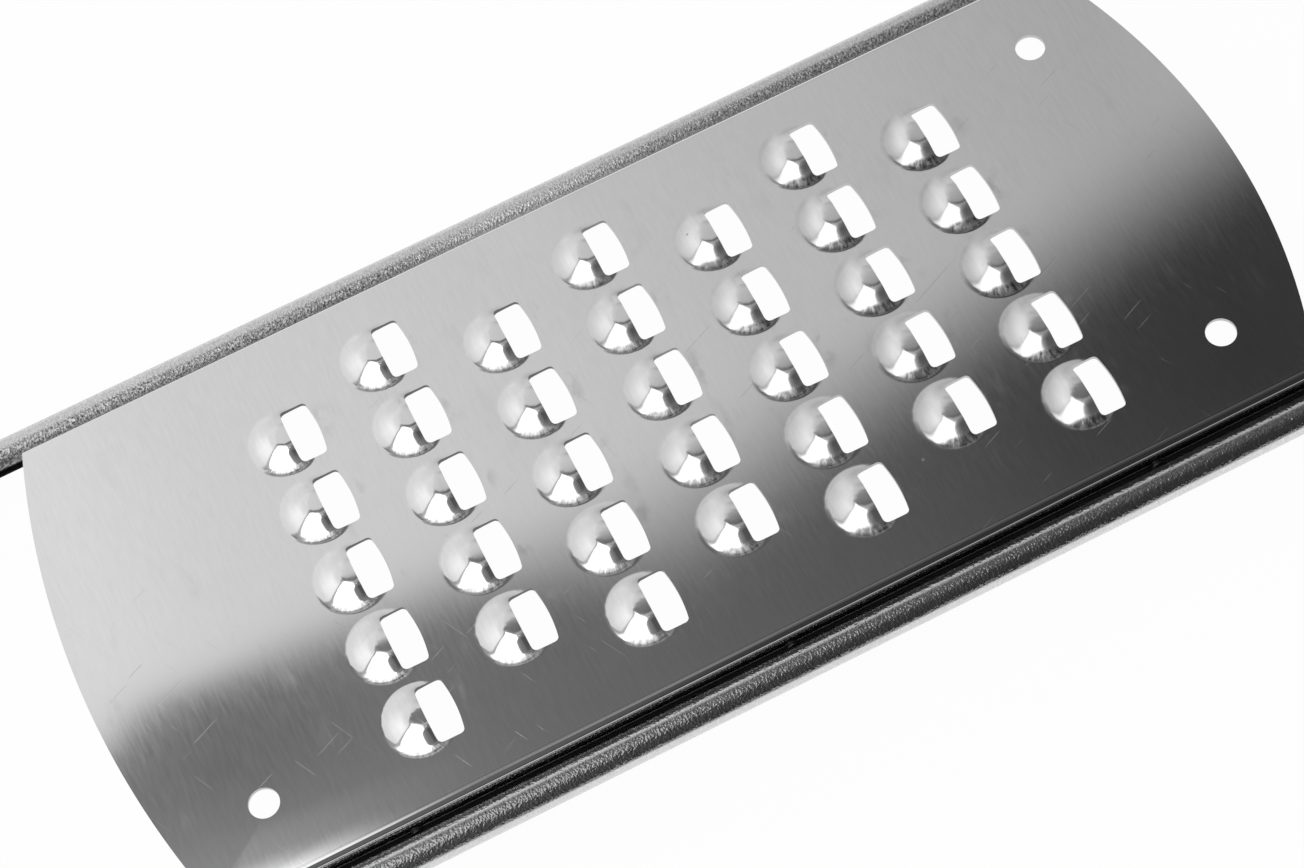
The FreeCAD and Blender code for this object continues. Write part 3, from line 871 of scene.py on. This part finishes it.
@dataclass
class ToothedSheet:
    """Pressed blade: flat sheet, bent-down long edges, locating holes and a block of teeth."""

    tooth: Tooth
    block: ToothBlock
    half_length: float = 71.4
    half_width: float = 31.0
    thickness: float = 0.5
    flange: float = 6.0
    bend: float = 0.9
    tip_bow: float = 6.67
    handle_bow: float = 4.6
    hole_radius: float = 1.75
    hole_inset: float = 13.1
    hole_offset: float = 21.65
    hole_sides: int = 48
    end_cuts: int = 47
    bend_steps: int = 10

    def end(self, y: float, tip: bool) -> float:
        """Place of a bowed end at a distance from the middle line."""
        depth = self.tip_bow if tip else self.handle_bow
        reach = self.half_length - depth + bow(depth, self.half_width, min(abs(y), self.half_width))
        return reach if tip else -reach

    def _press_teeth(self, shape: Shape) -> Edges:
        """Repeats the tooth over the block and returns the edges of the collars."""
        self.tooth.build(shape)
        pattern = [*shape.verts, *shape.edges, *shape.faces]
        places = self.block.places()
        for place in places[1:]:
            copy = bmesh.ops.duplicate(shape, geom=pattern)
            bmesh.ops.translate(shape, verts=new_verts(copy), vec=place)
        first = [item for item in pattern if isinstance(item, bmesh.types.BMVert)]
        bmesh.ops.translate(shape, verts=first, vec=places[0])

        def on_collar(edge: bmesh.types.BMEdge) -> bool:
            """Tells the collars from the mouths."""
            spot = edge.verts[0].co
            nearest = min(self.tooth.off_collar(spot - place) for place in places)
            return edge.is_boundary and nearest < SAME_PLACE

        return [edge for edge in shape.edges if on_collar(edge)]

    def _outline(self, shape: Shape) -> Edges:
        """Edges of the flat: bowed ends, straight sides up to the bends, and the locating holes."""
        flat = self.half_width - self.bend
        blank = bmesh.ops.create_grid(shape, x_segments=1, y_segments=1, size=1.0)
        verts = blank["verts"]
        bmesh.ops.scale(shape, verts=verts, vec=(self.half_length, flat, 1.0))
        edges = list(verts[0].link_faces[0].edges)
        bmesh.ops.delete(shape, geom=[verts[0].link_faces[0]], context="FACES_ONLY")
        ends = [edge for edge in edges if abs(edge.verts[0].co.x - edge.verts[1].co.x) < SAME_PLACE]
        split = bmesh.ops.subdivide_edges(shape, edges=ends, cuts=self.end_cuts)
        edges = list({*edges, *new_edges(split, "geom_split"), *new_edges(split, "geom_inner")})
        for vert in {vert for edge in edges for vert in edge.verts}:
            vert.co.x = self.end(vert.co.y, vert.co.x > 0.0)
        reach = self.half_length - self.hole_inset
        for x, y in ((-reach, -1.0), (reach, -1.0), (reach, 1.0)):
            spot = Matrix.Translation((x, y * self.hole_offset, 0.0))
            hole = bmesh.ops.create_circle(
                shape, cap_ends=False, segments=self.hole_sides, radius=self.hole_radius, matrix=spot,
            )
            edges.extend({edge for vert in hole["verts"] for edge in vert.link_edges})
        return edges

    def _bend_sides(self, shape: Shape) -> None:
        """Bends both long edges down and draws out the flanges."""
        flat = self.half_width - self.bend
        for side in (1.0, -1.0):
            run = [
                edge for edge in shape.edges
                if all(abs(vert.co.y - side * flat) < SAME_PLACE for vert in edge.verts)
            ]
            turned = bmesh.ops.spin(
                shape, geom=run, cent=(0.0, side * flat, -self.bend), axis=(1.0, 0.0, 0.0),
                angle=-side * math.pi / 2.0, steps=self.bend_steps, use_merge=False, dvec=(0.0, 0.0, 0.0),
            )
            wall = bmesh.ops.extrude_edge_only(shape, edges=new_edges(turned, "geom_last"))
            bmesh.ops.translate(shape, verts=new_verts(wall), vec=(0.0, 0.0, self.bend - self.flange))
        for vert in shape.verts:
            if abs(vert.co.y) > flat + SAME_PLACE:
                vert.co.x = self.end(vert.co.y, vert.co.x > 0.0)

    def build(self, sheet: Material, cut: Material) -> bpy.types.Object:
        """Builds the blade.

        Args:
            sheet: finish of both faces.
            cut: finish of the cut walls.

        Returns:
            The piece.
        """
        shape = bmesh.new()
        edges = self._press_teeth(shape) + self._outline(shape)
        bmesh.ops.triangle_fill(shape, use_beauty=True, use_dissolve=False, edges=edges)
        self._bend_sides(shape)
        bmesh.ops.recalc_face_normals(shape, faces=shape.faces[:])
        if sum(face.normal.z * face.calc_area() for face in shape.faces) < 0.0:
            bmesh.ops.reverse_faces(shape, faces=shape.faces[:])
        skin = set(shape.faces)
        brims = [edge for edge in shape.edges if edge.is_boundary]
        bmesh.ops.solidify(shape, geom=shape.faces[:], thickness=self.thickness)
        for edge in brims:
            for face in edge.link_faces:
                if face not in skin:
                    face.material_index = 1
        bmesh.ops.translate(shape, verts=shape.verts[:], vec=self.block.centre)
        return finish_piece(shape, "toothed_sheet", "blade", [sheet, cut])


@dataclass
class RodFrame:
    """One round rod, bent in a loop round the tip and drawn together at the handle."""

    radius: float = 2.0
    height: float = 8.0
    tang_end: float = -108.7
    tang_offset: float = 7.5
    neck: float = -51.7
    leg_offset: float = 33.3
    bend_radius: float = 12.0
    shoulder_turn: float = 45.0
    tip_radius: float = 12.0
    front: float = 159.2
    sides: int = 40
    shoulder_steps: int = 10
    tip_steps: int = 18

    def build(self, skin: Material) -> bpy.types.Object:
        """Draws the rod round one half of the frame and mirrors it.

        Args:
            skin: finish of the rod.

        Returns:
            The piece.
        """
        shape = bmesh.new()
        turn = math.radians(self.shoulder_turn)
        start = Vector((self.tang_end, self.tang_offset, self.height))
        upright = Matrix.Translation(start) @ Matrix.Rotation(math.pi / 2.0, 4, "Y")
        bmesh.ops.create_circle(
            shape, cap_ends=False, segments=self.sides, radius=self.radius, matrix=upright,
        )
        loop = shape.edges[:]
        end_cap = loop[:]

        def run(loop_edges: list, step: tuple) -> list:
            """Draws a straight run and returns its end."""
            drawn = bmesh.ops.extrude_edge_only(shape, edges=loop_edges)
            verts = new_verts(drawn)
            bmesh.ops.translate(shape, verts=verts, vec=step)
            return [edge for edge in new_edges(drawn) if all(vert in verts for vert in edge.verts)]

        def bend(loop_edges: list, centre: tuple, angle: float, steps: int) -> list:
            """Bends the rod about an upright axis and returns its end."""
            spun = bmesh.ops.spin(
                shape, geom=loop_edges, cent=(*centre, self.height), axis=(0.0, 0.0, 1.0),
                angle=angle, steps=steps, use_merge=False, dvec=(0.0, 0.0, 0.0),
            )
            return new_edges(spun, "geom_last")

        rise = self.leg_offset - self.tang_offset - 2.0 * self.bend_radius * (1.0 - math.cos(turn))
        slope = rise / math.tan(turn)
        shoulder = self.neck + 2.0 * self.bend_radius * math.sin(turn) + slope
        loop = run(loop, (self.neck - self.tang_end, 0.0, 0.0))
        loop = bend(loop, (self.neck, self.tang_offset + self.bend_radius), turn, self.shoulder_steps)
        loop = run(loop, (slope, rise, 0.0))
        loop = bend(loop, (shoulder, self.leg_offset - self.bend_radius), -turn, self.shoulder_steps)
        corner = self.front - self.tip_radius
        loop = run(loop, (corner - shoulder, 0.0, 0.0))
        loop = bend(loop, (corner, self.leg_offset - self.tip_radius), -math.pi / 2.0, self.tip_steps)
        run(loop, (0.0, self.tip_radius - self.leg_offset, 0.0))
        bmesh.ops.edgeloop_fill(shape, edges=end_cap)
        half = [*shape.verts, *shape.edges, *shape.faces]
        bmesh.ops.mirror(shape, geom=half, axis="Y", merge_dist=SAME_PLACE)
        bmesh.ops.remove_doubles(shape, verts=shape.verts[:], dist=SAME_PLACE)
        bmesh.ops.recalc_face_normals(shape, faces=shape.faces[:])
        return finish_piece(shape, "bent_rod", "frame_rod", [skin], crease=60.0)


@dataclass
class Fittings:
    """Solids that keep their shape and get their finish: welds, feet and the hollow handle."""

    finishes: tuple = (
        (WeldedSteel(), "left_weld_nuggets", "right_weld_nuggets"),
        (MouldedRubber(), "left_foot", "right_foot"),
        (SatinSteel("satin_handle"), "handle_top_shell", "handle_bottom_shell"),
        (SatinSteel("turned_bolster", roughness=0.24, grain=Grain.AROUND), "handle_bolster"),
        (SatinSteel("plain_bridge", (0.58, 0.58, 0.57), 0.42), "tang_bridge"),
        (SatinSteel("polished_tube", (0.8, 0.8, 0.8), 0.16, Grain.AROUND), "hang_tube"),
    )

    def dress(self) -> None:
        """Gives each solid its finish."""
        for finish, *nodes in self.finishes:
            material = finish.material()
            for node in nodes:
                dress(node, material)


@dataclass(frozen=True)
class Surround:
    """Panels round the stage, by degrees from straight up.

    Places across are towards the tip and places over are towards the far side. A ramp holds pairs of
    degrees and level, and any other pair holds the degrees that an edge fades between.
    """

    far: tuple = (
        (-90.0, 1.4), (-58.0, 1.4), (-50.0, 1.2), (-44.0, 1.08), (-36.0, 0.98), (-26.0, 0.92),
        (-14.0, 0.9), (-4.6, 0.9), (-1.9, 0.82), (1.7, 0.775), (5.9, 0.716), (8.9, 0.65),
        (12.0, 0.606), (17.0, 0.5), (26.0, 0.58), (60.0, 0.6),
    )
    far_edge: tuple = (
        (-90.0, 2.0), (-52.0, 7.0), (-40.0, 9.0), (-30.0, 13.0), (-15.0, 21.0), (-9.0, 24.0),
        (-4.6, 26.2), (1.7, 25.75), (5.9, 24.95), (8.9, 25.3), (17.0, 25.85), (40.0, 28.0),
    )
    far_soft: tuple = (
        (-40.0, 1.0), (-12.0, 1.0), (-4.6, 0.25), (1.7, 0.8), (5.9, 1.7), (12.0, 1.4), (16.8, 1.4),
    )
    gloom: tuple = (
        (-40.0, 0.3), (-12.0, 0.35), (-4.6, 0.4), (-1.9, 0.29), (1.3, 0.19), (3.7, 0.165),
        (6.1, 0.14), (8.4, 0.12), (10.6, 0.1), (12.9, 0.07), (15.0, 0.055), (17.2, 0.042),
        (20.0, 0.05), (27.0, 0.25), (40.0, 0.42),
    )
    dip_over: tuple = (21.5, 24.8)
    dip_across: tuple = (-4.0, 2.0)
    dip_depth: float = 0.5
    near: tuple = ((-20.0, 0.48), (3.0, 0.48), (7.0, 0.42), (13.0, 0.36), (20.0, 0.28))
    near_edge: tuple = (13.0, 19.0)
    near_rise: tuple = (-12.0, 8.0)
    near_least: float = 0.55
    ring_start: tuple = (-58.0, -52.0)
    ring_end: tuple = (-52.0, -44.0)
    ring_depth: float = 0.4
    panel_level: float = 2.0
    panel_top: tuple = (
        (-75.0, -3.0), (-52.0, 3.0), (-40.0, 4.5), (-31.0, 7.0), (-23.0, 11.5), (-15.0, 16.0),
        (-9.0, 19.0), (-4.0, 19.5),
    )
    panel_top_soft: float = 1.5
    panel_side: tuple = ((-32.0, -14.0), (-26.0, -6.0), (-20.0, -1.0), (0.0, -1.0), (20.0, -3.0))
    panel_side_soft: float = 2.0
    panel_foot: tuple = (-44.0, -34.0)
    spot_share: float = 0.4
    spot_start: tuple = (0.0, 2.0)
    spot_end: tuple = (5.0, 7.0)
    spot_foot: tuple = (-12.0, -10.0)
    spot_top: tuple = (-7.0, -5.0)
    card_shade: tuple = ((-14.0, 0.4), (-4.0, 0.24), (3.5, 0.2), (7.0, 0.1))
    card_side: tuple = (-1.0, 4.0)
    card_top: tuple = (-27.0, -22.0)
    rim_level: float = 0.42
    rim_least: float = 0.05
    rim_over: float = 0.0045
    rim_across: float = 0.0039
    rim_angle: tuple = (70.0, 86.0)

    def panels(self, graph: Graph, across: Signal, over: Signal) -> Signal:
        """Brightness of the panels.

        Args:
            graph: the surround's graph.
            across: degrees towards the tip.
            over: degrees towards the far side.

        Returns:
            The brightness.
        """
        dip = over.rise(*self.dip_over) * across.fall(*self.dip_across) * self.dip_depth
        gloom = graph.ramp(across, self.gloom) * (1.0 - dip)
        near = graph.ramp(across, self.near)
        near = near * (self.near_least + over.rise(*self.near_rise) * (1.0 - self.near_least))
        ring = over.rise(*self.ring_start) * over.fall(*self.ring_end)
        ground = gloom.toward(near * (1.0 - ring * self.ring_depth), over.fall(*self.near_edge))
        below = over - graph.ramp(across, self.panel_top)
        beside = across - graph.ramp(over, self.panel_side)
        panel = below.fall(-self.panel_top_soft, self.panel_top_soft)
        panel = panel * beside.fall(-self.panel_side_soft, self.panel_side_soft)
        panel = panel * over.rise(*self.panel_foot)
        spot = across.rise(*self.spot_start) * across.fall(*self.spot_end)
        spot = spot * over.rise(*self.spot_foot) * over.fall(*self.spot_top)
        card = beside.rise(*self.card_side) * over.fall(*self.card_top)
        ground = ground.toward(graph.ramp(across, self.card_shade), card)
        ground = ground.toward(self.panel_level, panel.most(spot * self.spot_share))
        soft = graph.ramp(across, self.far_soft)
        past = (over - graph.ramp(across, self.far_edge)).rise(soft * -1.0, soft)
        return ground.toward(graph.ramp(across, self.far), past)

    def rim(self, across: Signal, over: Signal) -> Signal:
        """Brightness low down, round the foot of the panels."""
        return (over * self.rim_over - across * self.rim_across + self.rim_level).most(self.rim_least)


@dataclass
class Studio:
    """Pale floor, soft surround of panels and a camera over the handle end of the blade."""

    eye: tuple = (0.02114, -0.15612, 0.31775)
    right: tuple = (0.89457762, -0.43319206, -0.10988868)
    up: tuple = (0.43390598, 0.78298865, 0.44570660)
    view: tuple = (0.10703497, 0.44640051, -0.88840875)
    lens: float = 85.5
    clip: tuple = (0.01, 50.0)
    floor_half: float = 4.0
    floor_glow: float = 0.965
    paper: float = 0.9
    surround: Surround = Surround()

    def place_camera(self) -> None:
        """Places the camera at the photograph's angle."""
        data = bpy.data.cameras.new("studio_camera")
        data.sensor_fit = "HORIZONTAL"
        data.sensor_width = SENSOR_WIDTH
        data.lens = self.lens
        data.clip_start, data.clip_end = self.clip
        camera = add_object("studio_camera", data)
        back = -Vector(self.view)
        turn = Matrix((self.right, self.up, back)).transposed()
        camera.matrix_world = Matrix.Translation(self.eye) @ turn.to_4x4()
        bpy.context.scene.camera = camera

    def lay_floor(self) -> None:
        """Lays a white floor that shows white and still takes a soft shadow."""
        shape = bmesh.new()
        bmesh.ops.create_grid(shape, x_segments=4, y_segments=4, size=self.floor_half)
        mesh = bpy.data.meshes.new("floor")
        shape.to_mesh(mesh)
        shape.free()
        material, graph = new_material("white_floor")
        path = graph.node("ShaderNodeLightPath")
        seen = graph.signal(path, "Is Camera Ray") + graph.signal(path, "Is Glossy Ray")
        seen = (seen + graph.signal(path, "Is Transmission Ray")).least(1.0)
        tone = (self.paper, self.paper, self.paper, 1.0)
        paper = graph.node("ShaderNodeBsdfDiffuse", {}, {"Color": tone})
        glow = graph.node("ShaderNodeEmission", {}, {"Color": (1.0, 1.0, 1.0, 1.0), "Strength": 1.0})
        mix = graph.node(
            "ShaderNodeMixShader", {}, {0: seen * self.floor_glow, 1: paper.outputs[0], 2: glow.outputs[0]},
        )
        graph.node("ShaderNodeOutputMaterial", {}, {"Surface": mix.outputs[0]})
        mesh.materials.append(material)
        floor = add_object("floor", mesh)

    def hang_surround(self) -> None:
        """Lights the scene by a surround of soft panels."""
        world = bpy.data.worlds.new("studio_surround")
        bpy.context.scene.world = world
        world.use_nodes = True
        graph = Graph(world.node_tree)
        where = graph.node("ShaderNodeTexCoord")
        parts = graph.node("ShaderNodeSeparateXYZ", {}, {0: where.outputs["Generated"]})
        x, y, z = (graph.signal(parts, axis) for axis in ("X", "Y", "Z"))
        angle = z.arc()
        share = angle / ((x * x + y * y) ** 0.5).most(SAME_PLACE)
        across = x * share
        over = y * share
        level = self.surround.panels(graph, across, over)
        rim = self.surround.rim(across, over)
        level = level.toward(rim, angle.rise(*self.surround.rim_angle))
        path = graph.node("ShaderNodeLightPath")
        strength = level.toward(1.0, graph.signal(path, "Is Camera Ray"))
        glow = graph.node("ShaderNodeBackground", {}, {"Color": (1.0, 1.0, 1.0, 1.0), "Strength": strength})
        graph.node("ShaderNodeOutputWorld", {}, {"Surface": glow.outputs[0]})


def main() -> None:
    """Builds the pieces in order and sets the stage."""
    logging.basicConfig(level=logging.INFO, format="%(name)s: %(message)s")
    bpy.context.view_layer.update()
    bpy.context.scene.view_settings.view_transform = "Standard"
    block = ToothBlock()
    ToothedSheet(Tooth(), block).build(RolledSheet(block).material(), ShearedEdge(block).material())
    RodFrame().build(TumbledRod().material())
    Fittings().dress()
    studio = Studio()
    studio.lay_floor()
    studio.hang_surround()
    studio.place_camera()


if __name__ == "__main__":
    main()
